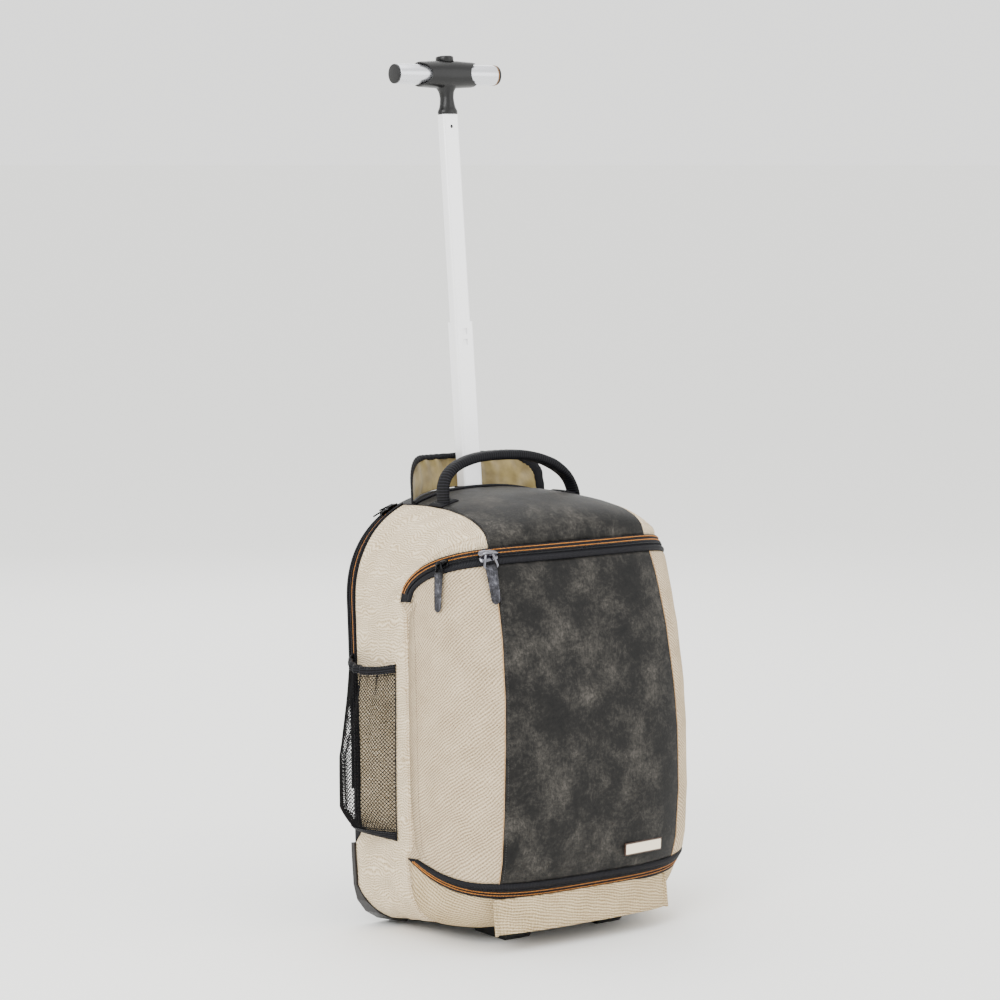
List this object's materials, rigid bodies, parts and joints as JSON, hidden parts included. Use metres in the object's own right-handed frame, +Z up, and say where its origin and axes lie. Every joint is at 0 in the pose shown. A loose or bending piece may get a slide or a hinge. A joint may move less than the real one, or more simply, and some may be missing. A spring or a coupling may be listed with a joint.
{
  "type": "wheeled backpack",
  "caption": "Cabin-size wheeled backpack in canvas and leather, with net side pockets, front zip pocket, carry handle and a telescopic T-handle pole.",
  "frame": {"origin": "on the floor under the middle of the standing bag's box", "axes": "+Z up, +Y towards the back with the pole, +X to the bag's right seen from the front"},
  "size_m": [0.452, 0.3294, 1.0406],
  "materials": {
    "canvas": "woven",
    "leather": "worn",
    "pull_leather": "grained",
    "back_pad": "padded",
    "webbing": "ribbed",
    "zip_tape": "taped",
    "net": "open net",
    "lining": "satin",
    "guard_plastic": "matte",
    "grip_plastic": "satin",
    "tyre": "moulded",
    "steel": "turned",
    "aluminium": "satin anodised",
    "gunmetal": "plated",
    "plate_metal": "plain"
  },
  "bodies": {
    "bag": {"side_panel_left": "canvas", "side_panel_right": "canvas", "front_side_left": "canvas", "front_side_right": "canvas", "lower_panel": "canvas", "skirt": "canvas", "front_panel": "leather", "top_panel": "leather", "pull_top_left": "pull_leather", "pull_top_middle": "pull_leather", "back_panel": "back_pad", "bottom_panel": "back_pad", "top_band": "webbing", "main_zip_left": "zip_tape", "main_zip_right": "zip_tape", "top_zip": "zip_tape", "bottom_zip": "zip_tape", "mesh_pocket_left": "net", "mesh_pocket_right": "net", "pocket_band_left": "webbing", "pocket_band_right": "webbing", "pocket_hem_left": "webbing", "pocket_hem_right": "webbing", "carry_handle": "webbing", "handle_tab_left": "webbing", "handle_tab_right": "webbing", "handle_flap": "lining", "flap_binding": "webbing", "corner_guard_left": "guard_plastic", "corner_guard_right": "guard_plastic", "axle_left": "steel", "axle_right": "steel", "foot_left": "grip_plastic", "foot_right": "grip_plastic", "pole_guide": "grip_plastic", "slider_top_left": "gunmetal", "slider_top_middle": "gunmetal", "badge_plate": "plate_metal"},
    "lower_stage": {"lower_tube": "aluminium"},
    "upper_stage": {"upper_tube": "aluminium", "grip_hub": "grip_plastic", "grip_bar_left": "aluminium", "grip_bar_right": "aluminium", "grip_cap_left": "grip_plastic", "grip_cap_right": "grip_plastic"},
    "button": {"release_button": "grip_plastic"},
    "wheel_left_body": {"wheel_left": "tyre"},
    "wheel_right_body": {"wheel_right": "tyre"}
  },
  "joints": [
    {"name": "lower_slide", "type": "slide", "parent": "bag", "child": "lower_stage", "axis": [0, 0.1011, 0.9949], "range_m": [-0.19, 0]},
    {"name": "upper_slide", "type": "slide", "parent": "lower_stage", "child": "upper_stage", "axis": [0, 0.1011, 0.9949], "range_m": [-0.246, 0]},
    {"name": "button_press", "type": "slide", "parent": "upper_stage", "child": "button", "axis": [0, -0.1011, -0.9949], "range_m": [0, 0.003], "stiffness_N_per_m": 400},
    {"name": "wheel_left_spin", "type": "hinge", "parent": "bag", "child": "wheel_left_body", "pos_m": [-0.098, 0.0541, 0.03], "axis": [1, 0, 0], "continuous": true},
    {"name": "wheel_right_spin", "type": "hinge", "parent": "bag", "child": "wheel_right_body", "pos_m": [0.098, 0.0541, 0.03], "axis": [1, 0, 0], "continuous": true}
  ]
}
